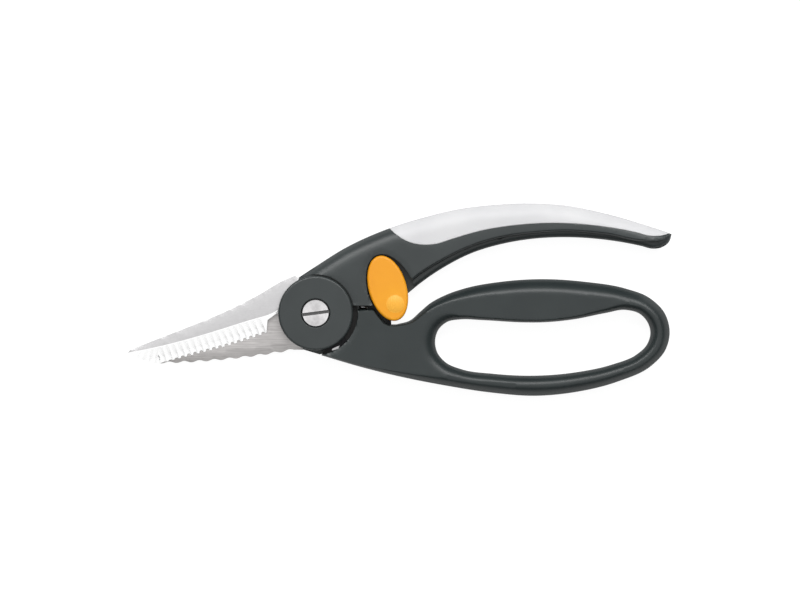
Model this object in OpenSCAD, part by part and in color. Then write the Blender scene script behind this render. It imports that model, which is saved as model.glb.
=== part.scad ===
// Spring-opened kitchen shears with a finger loop below, a palm bow above and a swinging thumb lock.
// They lie flat: +Z is the thickness, the blade tips point along -X and the palm bow is on the +Y side.
// The origin is the pivot axis on the plane that the shears rest on. Millimetres.

/* [Blades] */
// Thickness of each blade
blade_t = 2.5; // [2.2:0.1:2.5]
// Gap between the two blades
blade_gap = 0.05; // [0.02:0.01:0.1]
// Pitch of the front blade's flutes
flute_pitch = 2.8; // [2.4:0.1:3.2]
// Depth of the front blade's flutes
flute_depth = 0.4; // [0.2:0.05:0.5]
// Number of scallops along the rear blade's back
scallops = 9; // [6:1:12]
// Depth of the scallops
scallop_depth = 0.8; // [0.3:0.1:1.2]

/* [Pivot] */
// Radius of the round cover
cover_r = 17.1; // [16.8:0.1:17.3]
// Thickness of the round cover
cover_t = 4.8; // [4.5:0.1:5]
// Radius of the screw's head
head_r = 6.35; // [5.5:0.05:6.5]
// Radius of the screw's shoulder, on which the blades turn
shoulder_r = 4; // [3.6:0.1:4.2]
// Radius of the screw's thread
thread_r = 3; // [2.5:0.1:3.2]
// Width of the screw's slot
slot_w = 1.45; // [1:0.05:2]
// Thickness of the captive nut
nut_t = 4; // [3:0.1:4.5]
// Running clearance round a turning pin
run_gap = 0.05; // [0.02:0.01:0.09]

/* [Handles] */
// Thickness of the handles
handle_t = 14.6; // [14.4:0.1:16]
// Thickness of the hub behind the blades
back_t = 5.5; // [5.4:0.1:5.6]
// Width of the rounding along the handles' edges
edge_r = 1.8; // [1:0.1:2]
// Height of the lip that the back half of the palm bow raises along its inner edge
lip_h = 3; // [2:0.1:4]
// Radius of the arc that the loop handle leaves free round the cover
hub_gap_r = 19.3; // [19.2:0.1:19.6]

/* [Lock] */
// Long half-axis of the oval thumb lever
lever_a = 15.4; // [15:0.1:15.6]
// Short half-axis of the oval thumb lever
lever_b = 8.7; // [8.4:0.1:8.9]
// Tilt of the oval from upright
lever_tilt = 16.4; // [15:0.1:18]
// Swing of the lever from free to locked
lever_swing = 12; // [11:1:12]
// Gap round the lever in its recess
lever_gap = 0.6; // [0.4:0.1:0.8]

/* [Opening spring] */
// Mean radius of the coil
coil_r = 1.9; // [1.7:0.05:2]
// Diameter of the spring wire
wire_d = 0.8; // [0.6:0.1:0.9]
// Number of turns
coil_turns = 8; // [6:1:9]

/* [Hidden] */
$fn = 96;

DARK = [0.27, 0.29, 0.29];
GREY = [0.88, 0.88, 0.89];
ORANGE = [0.97, 0.66, 0.18];
STEEL = [0.85, 0.85, 0.86];
BRUSHED = [0.7, 0.68, 0.68];
BRIGHT = [0.92, 0.92, 0.92];
BLACKENED = [0.16, 0.16, 0.17];

span_steps = 4;         // straight pieces in each stretch of a curve
far = 60;               // longer than any cut needs to be
fit = 0.1;              // slack round a fixed insert
seam_z = back_t + blade_t + blade_gap;
front_top = seam_z + blade_t;
cover_z = front_top + 0.1;
hub_r = cover_r + 0.5;
hub_open_r = cover_r + 0.65;
blade_sweep_r = 20.4;   // the front blade's heel turns inside this radius
blade_hub_r = 16.5;
screw_top = cover_z + cover_t - 0.1;
head_t = 2.2;
washer_t = 0.5;
recess_r = head_r + 0.45;
recess_z = screw_top - head_t - washer_t - 0.1;
nut_r = 5.8;
slot_depth = 1.1;
slot_turn = 7.4;

// Palm bow: its outer edge from the hub to the tip, then round the tip and back along its inner edge
bow_outer = [[-8, 16.3], [0.1, 21.6], [13.2, 29.8], [33.8, 39], [48.3, 43.6], [67.2, 48], [86, 50],
    [100, 50.4], [114, 49.5], [132.9, 45.8], [151.7, 40.4], [161, 37.4]];
bow_inner = [[163.6, 36.2], [162.5, 32.9], [159.2, 30.3], [154.5, 29.6], [149.8, 30.75], [132.9, 33.7],
    [114, 34.85], [100, 34.15], [86, 31.85], [72.8, 28], [57.8, 20.4], [48.4, 14], [42.6, 9.3]];
bow_root = [[38, 7], [30, 5], [27.2, 3.45], [17.2, 3.45], [0, 0]];
// Inner edge of the front half, inside the lip of the back half, from the tip to the lever's recess
lip_line = [[157.6, 38.4], [160.7, 37], [160.9, 34.7], [158, 33], [151.7, 32.6], [132.9, 35.8],
    [114, 37.2], [100, 36.4], [86, 34.5], [72.8, 30.8], [57.8, 23.7], [45, 15.2], [42.6, 12.8]];
// Lower edge of the soft palm inlay, from its blunt front end to the tip
inlay_edge = [[33.8, 39], [37.1, 35.8], [42.8, 32.5], [48.4, 31.3], [55, 31.6], [62.5, 33.9],
    [76.5, 37.85], [89.7, 40], [108.8, 41.2], [130.9, 39.7], [141.7, 38], [147.4, 36.8], [152.9, 35.4],
    [158.2, 35.5], [162.5, 36.7]];
inlay_round = [[170, 36], [170, far], [25, far], [25, 44]];
// Heel of the back hub, under the pivot
hub_heel = [[-7.1, -16.5], [1.6, -19.1], [4.4, -18.6], [10, -13], [-4, -8]];

// Loop handle: the lug beside the spring, then the loop's outer edge, ending under the hub
lug = [[10, 1.6], [26.3, 2], [27.1, 1.4], [28.9, -1.1], [31.5, -4.2], [33.6, -5.2]];
loop_outer = [[37, -5.2], [43.2, -3.4], [48.1, 0.8], [52.2, 4.3], [59.7, 8.35], [69, 11.5], [86, 14.5],
    [104.7, 15.6], [123.5, 14.4], [142.3, 11.3], [153.2, 7.1], [160.6, -0.4], [162.7, -9.4],
    [160.7, -17.1], [154.1, -24.4], [138.4, -31.7], [119.8, -36.3], [100.5, -38.1], [81.2, -36.7],
    [59.1, -33.3], [37, -28.9], [20.5, -24.8], [2.5, -19.5]];
loop_hole = [[54.8, -12.9], [56.4, -7.6], [60.6, -4], [66.2, -3], [76.5, -3.3], [95.4, -4.35],
    [104.7, -4.3], [118.8, -2.9], [132.9, -0.1], [142.3, 1.4], [148.9, -0.4], [152.6, -4.5],
    [153.8, -9.2], [152.2, -14.5], [147.4, -19.1], [136.4, -23.6], [119.8, -27.2], [100.1, -28.8],
    [81.3, -27.9], [67.2, -25.9], [59.7, -22.7], [55.9, -18.3]];

// Tongue of the loop handle that runs in a room of the palm bow and closes the slot between them
tongue_edge = [[19.4, -3], [33.2, -5.6], [33.2, -2], [31, 2], [27.2, 4.9], [19.4, 4.9]];
tongue_room = [[19, 0], [32.6, 0], [31.6, 4], [28, 5.7], [19, 5.5]];
tongue_z = [1.6, 4.6];
// End of the flange that the loop handle lays under the cover, beside the spring
flange_end = [[14, 0], [19.8, 0], [19.8, 3.5], [19.2, 6], [14, 6]];

// Front blade: back, tip, toothed edge and heel
front_blade_edge = [[-8.3, 16.1], [-9.5, 16.9], [-11.7, 16.2], [-28.3, 7.2], [-44.9, -0.9], [-57.3, -6],
    [-73.8, -12.4], [-85.2, -16.9], [-86.6, -18.7], [-84.3, -19.9], [-80.8, -21.1], [-77, -22.3],
    [-72, -23.1], [-69, -22.6], [-48.3, -17.1], [-31.3, -12.1], [-22.8, -9.2], [-22.2, -3.2],
    [-19.6, -1.3], [-16.3, 1.2], [0, 0]];
front_tang = [[5, -12], [8.5, -19.2], [16, -20.6], [30, -21.4], [44, -22.5], [47, -19], [44, -15.5],
    [34, -12.2], [22, -11.2], [15, -13.6], [11, -8]];
// Rear blade: its hidden cutting edge, and the tang inside the palm bow
rear_tip = [[-77, -21.8], [-80.5, -20], [-60, -14.2], [-24, -3.5], [-14, 2], [-2, -4], [-6.2, -16.9]];
rear_tang = [[-3, 10], [-1, 16], [12, 23.4], [30, 29.8], [42, 30], [56, 30.2], [62, 32.4], [76, 36.9],
    [90, 39.2], [90, 36], [72, 31.6], [58, 25.8], [45, 25.2], [33, 26.4], [25, 23], [19, 14],
    [14, 8.5], [6, 4]];
grind_start = [-22.3, -1.4];
grind_turn = 15.5;
grind_w = 7.7;
grind_left = 0.25;      // thickness left at the tips of the teeth

lever_c = [33, 11.35];
lever_pin_c = [30, 22.4];
lever_pin_r = 1.6;
lever_z = seam_z + 0.25;
lever_top = handle_t + 0.6;
thumb_c = [36.5, 4.1];
thumb_r = 4.1;
thumb_h = 0.8;
hook_top = seam_z - 0.05;
hook_z = hook_top - 2.2;
hook_pad = [[27.5, 11.5], [27.5, 15.5], [32, 15.5], [32, 11.5]];
hook_edge = [[25.4, 3.2], [28.7, 3.4], [28.7, 5.6], [27.2, 5.7], [27.2, 8.2], [29, 10], [33, 11],
    [33, 16], [27, 16], [25.4, 12]];
rivets_at = [[28.5, 12.4], [31, 14.2]];
catch_z = hook_z - 0.2;
catch_t = seam_z - catch_z - 0.05;
catch_edge = [[28, -9], [40, -9], [40, -7], [34.6, -6.2], [34.6, 8.6], [31.6, 8.6], [31, 8], [31, 6],
    [33, 6], [33, -6.2], [28, -7]];
lock_room = [[25, -1], [36.6, -1], [36.6, 10.5], [37.2, 13], [36, 18], [26, 18], [25, 13]];
lock_room_z = catch_z - 0.5;
leaf_c = [39.4, 15.5];
leaf_l = 8;
leaf_w = 2.4;
leaf_t = 0.4;
leaf_rise = 1.5;

spring_c = [21.6, 2.25];
spring_half = 7.2;      // from the middle of the spring to the middle of its end turn
spring_room_r = coil_r + wire_d / 2 + 0.25;
spring_room_half = spring_half + wire_d / 2 + 0.2;

upper_screws_at = [[14, 20.5], [50, 27], [84, 36.4]];
loop_screws_at = [[30, -16.5], [62, 3.6], [112, 6.5], [158, -9], [86, -32.6]];
screw_r = 1.3;
screw_head_r = 2.5;
screw_head_z = [0.7, 2.2];
screw_end = 12.4;

// Direction of a curve at b, between its neighbours a and c
function slope(a, b, c) =
    let (h = norm(b - a), k = norm(c - b))
    h == 0 ? (c - b) / k : k == 0 ? (b - a) / h : (k * (b - a) / h + h * (c - b) / k) / (h + k);
// Point at t on the stretch from b to c of a curve that also passes a and d
function stretch(a, b, c, d, t) =
    let (k = norm(c - b), m = slope(a, b, c) * k, n = slope(b, c, d) * k)
    (2 * pow(t, 3) - 3 * t * t + 1) * b + (pow(t, 3) - 2 * t * t + t) * m
    + (3 * t * t - 2 * pow(t, 3)) * c + (pow(t, 3) - t * t) * n;
// Smooth open curve through the points p
function curve(p) =
    let (last = len(p) - 1)
    concat([for (i = [0 : last - 1], s = [0 : span_steps - 1])
        stretch(p[max(i - 1, 0)], p[i], p[i + 1], p[min(i + 2, last)], s / span_steps)], [p[last]]);
// Smooth closed curve through the points p
function ring(p) =
    let (n = len(p))
    [for (i = [0 : n - 1], s = [0 : span_steps - 1])
        stretch(p[(i + n - 1) % n], p[i], p[(i + 1) % n], p[(i + 2) % n], s / span_steps)];
// The closed outline p moved to its left by d: outwards where p runs clockwise
function moved(p, d) =
    let (n = len(p))
    [for (i = [0 : n - 1])
        let (v = p[(i + 1) % n] - p[(i + n - 1) % n]) p[i] + d * [-v[1], v[0]] / norm(v)];
// Inset of the rounded edge at step k of the shells' stepped rounding, from the face inwards
function edge_in(k) = edge_r - sqrt(edge_r * edge_r - pow(edge_r - (k + 0.5) * edge_r / 3, 2));
// Oval of the thumb lever, grown by d
function oval(d) =
    [for (a = [0 : 6 : 354]) lever_c
        + (lever_a + d) * cos(a) * [sin(lever_tilt), -cos(lever_tilt)]
        + (lever_b + d) * sin(a) * [cos(lever_tilt), sin(lever_tilt)]];
// Scalloped back of the rear blade, from the hub to near the tip
function scalloped_back() =
    [for (s = [0 : 8 * scallops])
        let (v = s / (8 * scallops))
        [-9 - 62 * v, -16.9 - 11.5 * v + 5.2 * v * v + scallop_depth / 2 * (1 - cos(360 * scallops * v))]];

bow_outline = concat(curve(bow_outer), curve(bow_inner), bow_root);
front_outline = concat(curve([for (i = [0 : len(bow_outer) - 2]) bow_outer[i]]), curve(lip_line), bow_root);
loop_outline = concat(lug, curve(loop_outer), [[8, -10]]);

module slab(outline, low, high) translate([0, 0, low]) linear_extrude(high - low) polygon(outline);

module at_each(places) for (p = places) translate(p) children();

// Half of a handle, with stepped rounding at its outer face
module half_shell(outline, hole, back) {
    step = edge_r / 3;
    for (k = [0 : 2]) {
        low = back ? k * step : k == 2 ? seam_z : handle_t - (k + 1) * step;
        high = back ? (k == 2 ? seam_z : (k + 1) * step) : handle_t - k * step;
        inset = k == 2 ? 0 : edge_in(k);
        translate([0, 0, low]) linear_extrude(high - low) difference() {
            polygon(moved(outline, -inset));
            if (len(hole) > 0) polygon(moved(hole, inset));
        }
    }
}

module inlay_space() slab(concat(curve(inlay_edge), inlay_round), -1, handle_t + 1);

module spring_room() translate([spring_c[0], spring_c[1] - spring_room_half, seam_z])
    rotate([-90, 0, 0]) cylinder(r = spring_room_r, h = 2 * spring_room_half);

// Recess that the lever needs over its whole swing
module lever_room() for (a = [0 : 3 : lever_swing])
    translate(lever_pin_c) rotate(a) translate(-lever_pin_c) slab(oval(lever_gap), seam_z, far);

// Screws that hold the back half of a handle to its front half, and the holes that they need
module handle_screw() difference() {
    union() {
        translate([0, 0, screw_head_z[0]]) cylinder(r = screw_head_r, h = screw_head_z[1] - screw_head_z[0]);
        translate([0, 0, screw_head_z[0]]) cylinder(r = screw_r, h = screw_end - screw_head_z[0]);
    }
    for (a = [0, 90]) rotate(a) translate([-1.5, -0.3, 0]) cube([3, 0.6, screw_head_z[0] + 0.7]);
}
module handle_screw_hole() {
    cylinder(r = screw_r + 0.02, h = screw_end + 0.3);
    translate([0, 0, -1]) cylinder(r = screw_head_r + fit, h = screw_head_z[1] + 1);
}

module upper_back_shell() color(DARK) difference() {
    union() {
        difference() {
            union() {
                half_shell(bow_outline, [], true);
                slab(bow_outline, seam_z, seam_z + lip_h);
            }
            slab(front_outline, seam_z, handle_t);
            inlay_space();
        }
        cylinder(r1 = hub_r - 1.2, r2 = hub_r, h = 1.2);
        translate([0, 0, 1.2]) cylinder(r = hub_r, h = back_t - 1.2);
        slab(hub_heel, 1.2, back_t);
    }
    translate([0, 0, back_t]) cylinder(r = hub_open_r, h = back_t);
    slab(moved(rear_tang, fit), back_t, handle_t);
    translate([0, 0, -1]) cylinder(r = thread_r + 0.2, h = back_t + 2);
    translate([0, 0, -1]) cylinder(r = nut_r + fit, h = nut_t + fit + 1, $fn = 6);
    spring_room();
    slab(lock_room, lock_room_z, handle_t);
    slab(tongue_room, tongue_z[0] - 0.2, handle_t);
    lever_room();
    translate([lever_pin_c[0], lever_pin_c[1], 2.9]) cylinder(r = lever_pin_r + 0.01, h = seam_z);
    translate([leaf_c[0] - 1.6, leaf_c[1] - 4.8, seam_z - 1.6]) cube([3.2, 9.6, 2]);
    at_each(upper_screws_at) handle_screw_hole();
}

module upper_front_shell() color(DARK) difference() {
    half_shell(front_outline, [], false);
    inlay_space();
    cylinder(r = hub_open_r, h = far);
    cylinder(r = blade_sweep_r, h = cover_z + fit);
    lever_room();
    spring_room();
    at_each(upper_screws_at) handle_screw_hole();
}

module palm_inlay() color(GREY) intersection() {
    union() {
        half_shell(bow_outline, [], true);
        half_shell(front_outline, [], false);
    }
    inlay_space();
}

module rear_blade() color(BRUSHED) difference() {
    translate([0, 0, back_t]) union() {
        cylinder(r = blade_hub_r, h = blade_t);
        linear_extrude(blade_t) polygon(concat(scalloped_back(), rear_tip));
        linear_extrude(blade_t) polygon(rear_tang);
    }
    translate([0, 0, -1]) cylinder(r = shoulder_r + run_gap, h = far);
    translate([-24, -3.5, back_t]) rotate(16.5) rotate([14, 0, 0]) translate([-far, -2, -5])
        cube([far, 8, 5]);
    at_each(upper_screws_at) translate([0, 0, -1]) cylinder(r = screw_r + 0.2, h = far);
}

module hub_cover() color(DARK) rotate_extrude() polygon([
    [shoulder_r + 0.1, cover_z], [cover_r, cover_z], [cover_r, cover_z + cover_t - 1.2],
    [cover_r - 0.25, cover_z + cover_t - 0.45], [cover_r - 0.9, cover_z + cover_t],
    [recess_r, cover_z + cover_t], [recess_r, recess_z], [shoulder_r + 0.1, recess_z]]);

module wave_washer() color(BRIGHT) translate([0, 0, recess_z]) difference() {
    cylinder(r = head_r - 0.3, h = washer_t);
    translate([0, 0, -1]) cylinder(r = shoulder_r + 0.1, h = 3);
}

module pivot_screw() color(BRIGHT) difference() {
    union() {
        cylinder(r = thread_r - 0.02, h = back_t);
        translate([0, 0, back_t]) cylinder(r = shoulder_r, h = screw_top - back_t - 1);
        translate([0, 0, screw_top - head_t]) cylinder(r = head_r, h = head_t - 0.4);
        translate([0, 0, screw_top - 0.4]) cylinder(r1 = head_r, r2 = head_r - 0.4, h = 0.4);
    }
    translate([0, 0, screw_top - slot_depth]) rotate(slot_turn) translate([-far / 2, -slot_w / 2, 0])
        cube([far, slot_w, 3]);
}

module pivot_nut() color(BRIGHT) difference() {
    cylinder(r = nut_r, h = nut_t, $fn = 6);
    translate([0, 0, -1]) cylinder(r = thread_r, h = nut_t + 2);
}

module upper_handle_screws() color(BRIGHT) at_each(upper_screws_at) handle_screw();

module lever_pin() color(BRIGHT) translate([lever_pin_c[0], lever_pin_c[1], 3])
    cylinder(r = lever_pin_r, h = handle_t - 4.6);

// Arched leaf under the lever, which holds it at either end of its swing
module detent_spring() color(BRIGHT) {
    leaf_r = (leaf_l * leaf_l / 4 + leaf_rise * leaf_rise) / (2 * leaf_rise);
    translate([leaf_c[0] - leaf_w / 2, leaf_c[1], lever_z - 0.05 - leaf_r]) rotate([90, 0, 90])
        linear_extrude(leaf_w) difference() {
            circle(r = leaf_r);
            circle(r = leaf_r - leaf_t);
            translate([-far / 2, -far]) square([far, far + leaf_r - leaf_rise]);
        }
}

module front_blade() color(STEEL) difference() {
    translate([0, 0, seam_z]) union() {
        cylinder(r = blade_hub_r, h = blade_t);
        linear_extrude(blade_t) polygon(front_blade_edge);
        linear_extrude(blade_t) polygon(front_tang);
    }
    cylinder(r = shoulder_r + run_gap, h = far);
    grind = atan((blade_t - grind_left) / grind_w);
    flute_r = (pow(flute_pitch / 2, 2) + flute_depth * flute_depth) / (2 * flute_depth);
    translate([grind_start[0], grind_start[1], front_top]) rotate(grind_turn) rotate([grind, 0, 0]) {
        translate([-70, -20, 0]) cube([70, 20, 6]);
        for (i = [0 : floor(62 / flute_pitch)])
            translate([-(i + 0.5) * flute_pitch, -0.8, flute_r - flute_depth]) rotate([90, 0, -4])
                cylinder(r = flute_r, h = 20);
    }
    translate([loop_screws_at[0][0], loop_screws_at[0][1], 0]) cylinder(r = screw_r + 0.2, h = far);
}

module loop_front_shell() color(DARK) difference() {
    union() {
        half_shell(loop_outline, ring(loop_hole), false);
        slab(flange_end, seam_z + fit, front_top);
    }
    cylinder(r = blade_hub_r + fit, h = far);
    translate([0, 0, front_top]) cylinder(r = hub_gap_r, h = far);
    slab(moved(front_tang, -fit), 0, front_top + 0.05);
    spring_room();
    at_each(loop_screws_at) handle_screw_hole();
}

module loop_back_shell() color(DARK) difference() {
    union() {
        half_shell(loop_outline, ring(loop_hole), true);
        slab(tongue_edge, tongue_z[0], tongue_z[1]);
    }
    translate([0, 0, -1]) cylinder(r = hub_gap_r, h = far);
    slab(moved(catch_edge, -fit), catch_z - 0.05, handle_t);
    spring_room();
    at_each(loop_screws_at) handle_screw_hole();
}

module loop_handle_screws() color(BRIGHT) at_each(loop_screws_at) handle_screw();

// Blackened catch plate, with a ledge that the hook swings under
module lock_catch() color(BLACKENED) slab(catch_edge, catch_z, catch_z + catch_t);

// Coil spring that pushes the handles apart, its axis along Y
module opening_spring() {
    around = 14;
    sides = 6;
    rings = coil_turns * around;
    points = [for (i = [0 : rings], k = [0 : sides - 1])
        let (a = 360 * i / around, b = 360 * k / sides, r = coil_r + wire_d / 2 * cos(b))
        [spring_c[0] + r * cos(a), spring_c[1] - spring_half + 2 * spring_half * i / rings
            + wire_d / 2 * sin(b), seam_z + r * sin(a)]];
    walls = [for (i = [0 : rings - 1], k = [0 : sides - 1])
        let (m = (k + 1) % sides)
        [i * sides + k, i * sides + m, (i + 1) * sides + m, (i + 1) * sides + k]];
    ends = [[for (k = [sides - 1 : -1 : 0]) k], [for (k = [0 : sides - 1]) rings * sides + k]];
    color(BRIGHT) polyhedron(points = points, faces = concat(walls, ends));
}

module lock_lever() color(ORANGE) difference() {
    union() {
        slab(hook_pad, hook_top, lever_z);
        slab(oval(0), lever_z, lever_top - 1);
        slab(oval(-0.35), lever_top - 1, lever_top - 0.4);
        slab(oval(-1), lever_top - 0.4, lever_top);
        thumb_ball_r = (thumb_r * thumb_r + thumb_h * thumb_h) / (2 * thumb_h);
        translate([thumb_c[0], thumb_c[1], 0]) intersection() {
            translate([0, 0, lever_top + thumb_h - thumb_ball_r]) sphere(r = thumb_ball_r);
            translate([0, 0, lever_top - 2]) cylinder(r = thumb_r, h = 5);
        }
    }
    translate(lever_pin_c) cylinder(r = lever_pin_r + run_gap, h = handle_t - 1.2);
    at_each(rivets_at) cylinder(r = 0.92, h = lever_z + 2.6);
}

module lock_hook() color(STEEL) difference() {
    slab(hook_edge, hook_z, hook_top);
    at_each(rivets_at) cylinder(r = 0.92, h = far);
}

module hook_rivets() color(BRIGHT) at_each(rivets_at) {
    translate([0, 0, hook_z - 0.4]) cylinder(r = 1.5, h = 0.4);
    translate([0, 0, hook_z - 0.4]) cylinder(r = 0.9, h = 4.8);
}

upper_back_shell();
upper_front_shell();
palm_inlay();
rear_blade();
hub_cover();
wave_washer();
pivot_screw();
pivot_nut();
upper_handle_screws();
lever_pin();
detent_spring();
front_blade();
loop_front_shell();
loop_back_shell();
loop_handle_screws();
lock_catch();
opening_spring();
lock_lever();
lock_hook();
hook_rivets();
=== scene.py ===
"""Looks of the poultry shears: handles, blades, pivot, lock lever and spring, made round the CAD frame.

Plan coordinates and heights are in millimetres, as in the CAD, and become metres when a mesh is made.
"""
import math

import bpy
import numpy as np
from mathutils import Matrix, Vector
from mathutils.geometry import delaunay_2d_cdt


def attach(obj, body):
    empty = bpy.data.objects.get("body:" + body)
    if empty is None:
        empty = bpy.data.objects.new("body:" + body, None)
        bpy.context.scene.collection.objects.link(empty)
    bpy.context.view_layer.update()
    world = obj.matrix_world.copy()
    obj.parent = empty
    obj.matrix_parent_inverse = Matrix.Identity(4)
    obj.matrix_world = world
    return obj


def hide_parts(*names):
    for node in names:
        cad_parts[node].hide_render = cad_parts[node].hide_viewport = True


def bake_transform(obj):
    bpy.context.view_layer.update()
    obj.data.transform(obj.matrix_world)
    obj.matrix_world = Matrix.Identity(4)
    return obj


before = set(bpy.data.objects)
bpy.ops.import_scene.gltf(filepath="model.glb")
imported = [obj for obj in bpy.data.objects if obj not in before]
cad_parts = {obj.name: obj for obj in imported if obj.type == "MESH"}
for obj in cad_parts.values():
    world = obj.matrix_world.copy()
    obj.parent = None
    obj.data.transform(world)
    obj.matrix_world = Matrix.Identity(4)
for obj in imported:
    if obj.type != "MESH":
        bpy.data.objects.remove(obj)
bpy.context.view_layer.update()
MM = 0.001
# In metres, just under the flat back, so that the two never lie in one plane
FLOOR_Z = -0.0002
# Points that a curve gets on each of its stretches
SPAN_STEPS = 20

# Heights
SEAM_Z = 8.05
FACE_Z = 14.6
HUB_BACK_Z = 5.5
HUB_FLOOR_Z = 1.2
NUT_SEAT_Z = 4.1
GROOVE_TOP_Z = 12.4
BLADE_TOP_Z = 10.55
LIP_Z = 11.05
SCREW_RECESS_Z = 2.3
LOCK_ROOM_Z = 5.1
CATCH_SEAT_Z = 5.55
TONGUE_LOW_Z = 1.6
TONGUE_HIGH_Z = 4.6
TONGUE_ROOM_LOW_Z = 0.9
TONGUE_ROOM_HIGH_Z = 1.4
# Higher than any underside, where a part of the plan has none
NO_UNDERSIDE = 9

# Radii
HUB_GAP_R = 19.3
HEEL_R = 19.2
HUB_OPEN_R = 17.75
HUB_R = 17.6
COVER_R = 17.1
GROOVE_R = 17.14
FLANGE_R = 16.6
BLADE_HUB_R = 16.5
NUT_R = 5.9
BLADE_BORE_R = 4.05
SCREW_RECESS_R = 2.7
# The front blade's heel turns inside this radius, below this height
BLADE_SWEEP_R = 20.6
BLADE_SWEEP_Z = 10.75

# Widths of rounded edges
PALM_ROUND = 8.0
PALM_BACK_ROUND = 6
GRIP_BACK_ROUND = 3.5
LIP_ROUND = 1.3
RECESS_ROUND = 0.5
HUB_ROUND = 1.2
# Power of a fuller rounding than a quarter circle's
FULL = 2.2

# Outlines and places of the pieces
BOW_OUTER = [[-8, 16.3], [0.1, 21.6], [13.2, 29.8], [33.8, 39], [48.3, 43.6], [67.2, 48], [86, 50],
             [100, 50.4], [114, 49.5], [132.9, 45.8], [151.7, 40.4], [161, 37.4]]
BOW_INNER = [[163.6, 36.2], [162.5, 32.9], [159.2, 30.3], [154.5, 29.6], [149.8, 30.75], [132.9, 33.7],
             [114, 34.85], [100, 34.15], [86, 31.85], [72.8, 28], [57.8, 20.4], [48.4, 14], [42.6, 9.3]]
BOW_ROOT = [[38, 7], [30, 5], [27.2, 3.45], [17.2, 3.45], [0, 0]]
LIP_LINE = [[157.6, 38.4], [160.7, 37], [160.9, 34.7], [158, 33], [151.7, 32.6], [132.9, 35.8],
            [114, 37.2], [100, 36.4], [86, 34.5], [72.8, 30.8], [57.8, 23.7], [45, 15.2], [42.6, 12.8]]
INLAY_EDGE = [[33.8, 39], [37.1, 35.8], [42.8, 32.5], [48.4, 31.3], [55, 31.6], [62.5, 33.9],
              [76.5, 37.85], [89.7, 40], [108.8, 41.2], [130.9, 39.7], [141.7, 38], [147.4, 36.8],
              [152.9, 35.4], [158.2, 35.5], [162.5, 36.7]]
INLAY_ROUND = [[170, 36], [170, 60], [25, 60], [25, 44]]
HUB_HEEL = [[-7.1, -16.5], [1.6, -19.1], [4.4, -18.6], [10, -13], [-4, -8]]
LUG = [[10, 1.6], [26.3, 2], [27.1, 1.4], [28.9, -1.1], [31.5, -4.2], [33.6, -5.2]]
LOOP_OUTER = [[37, -5.2], [43.2, -3.4], [48.1, 0.8], [52.2, 4.3], [59.7, 8.35], [69, 11.5], [86, 14.5],
              [104.7, 15.6], [123.5, 14.4], [142.3, 11.3], [153.2, 7.1], [160.6, -0.4], [162.7, -9.4],
              [160.7, -17.1], [154.1, -24.4], [138.4, -31.7], [119.8, -36.3], [100.5, -38.1],
              [81.2, -36.7], [59.1, -33.3], [37, -28.9], [20.5, -24.8], [2.5, -19.5]]
LOOP_HOLE = [[54.8, -12.9], [56.4, -7.6], [60.6, -4], [66.2, -3], [76.5, -3.3], [95.4, -4.35],
             [104.7, -4.3], [118.8, -2.9], [132.9, -0.1], [142.3, 1.4], [148.9, -0.4], [152.6, -4.5],
             [153.8, -9.2], [152.2, -14.5], [147.4, -19.1], [136.4, -23.6], [119.8, -27.2],
             [100.1, -28.8], [81.3, -27.9], [67.2, -25.9], [59.7, -22.7], [55.9, -18.3]]
# Widths of the loop's rounding at the points above, from its outer edge and from its hole
LUG_ROUND = [0.8] * len(LUG)
LOOP_OUTER_ROUND = [0.9, 1.4, 2.1, 2.8, 3.8, 4.9, 5.9, 6.3, 6.2, 5.8, 5.8, 5.4, 5, 4.6, 4.2, 4, 4.4,
                    4.6, 4.5, 4, 2.2, 1.2, 1]
LOOP_HOLE_ROUND = [7, 6.4, 4.6, 2.2, 1.5, 1.4, 1.4, 1.6, 2.4, 3.4, 4, 4.2, 4.2, 4.2, 4.2, 4, 4.2, 4.4,
                   4.5, 5, 6, 6.8]
TONGUE_EDGE = [[19.4, -3], [33.2, -5.6], [33.2, -2], [31, 2], [27.2, 4.9], [19.4, 4.9]]
TONGUE_ROOM = [[19, 0], [32.6, 0], [31.6, 4], [28, 5.7], [19, 5.5]]
FLANGE_END = [[14, 0], [19.8, 0], [19.8, 3.5], [19.2, 6], [14, 6]]
LEVER_CENTRE = np.array([33, 11.35])
LEVER_PIN = np.array([30, 22.4])
LEVER_TILT = math.radians(16.4)
LEVER_SWING = 12
LEVER_LONG = 15.4
LEVER_SHORT = 8.7
SPRING_CENTRE = [21.6, 2.25]
SPRING_ROOM_R = 2.55
SPRING_ROOM_HALF = 7.8
TANG_GLINT = [[6.9, -17.3], [7.8, -16.3], [10.9, -14.9], [10.3, -16.5]]
UPPER_SCREWS = [[14, 20.5], [50, 27], [84, 36.4]]
LOOP_SCREWS = [[30, -16.5], [62, 3.6], [112, 6.5], [158, -9], [86, -32.6]]
CATCH_EDGE = [[28, -9], [40, -9], [40, -7], [34.6, -6.2], [34.6, 8.6], [31.6, 8.6], [31, 8], [31, 6],
              [33, 6], [33, -6.2], [28, -7]]
LOCK_ROOM = [[25, -1], [36.6, -1], [36.6, 10.5], [37.2, 13], [36, 18], [26, 18], [25, 13]]
FRONT_TANG = [[5, -12], [8.5, -19.2], [16, -20.6], [30, -21.4], [44, -22.5], [47, -19], [44, -15.5],
              [34, -12.2], [22, -11.2], [15, -13.6], [11, -8]]


# ---------------------------------------------------------------- plan curves

def slope(a, b, c):
    """Direction of a curve at b, between its neighbours a and c."""
    before, after = np.linalg.norm(b - a), np.linalg.norm(c - b)
    if before == 0:
        return (c - b) / after
    if after == 0:
        return (b - a) / before
    return (after * (b - a) / before + before * (c - b) / after) / (before + after)


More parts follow.
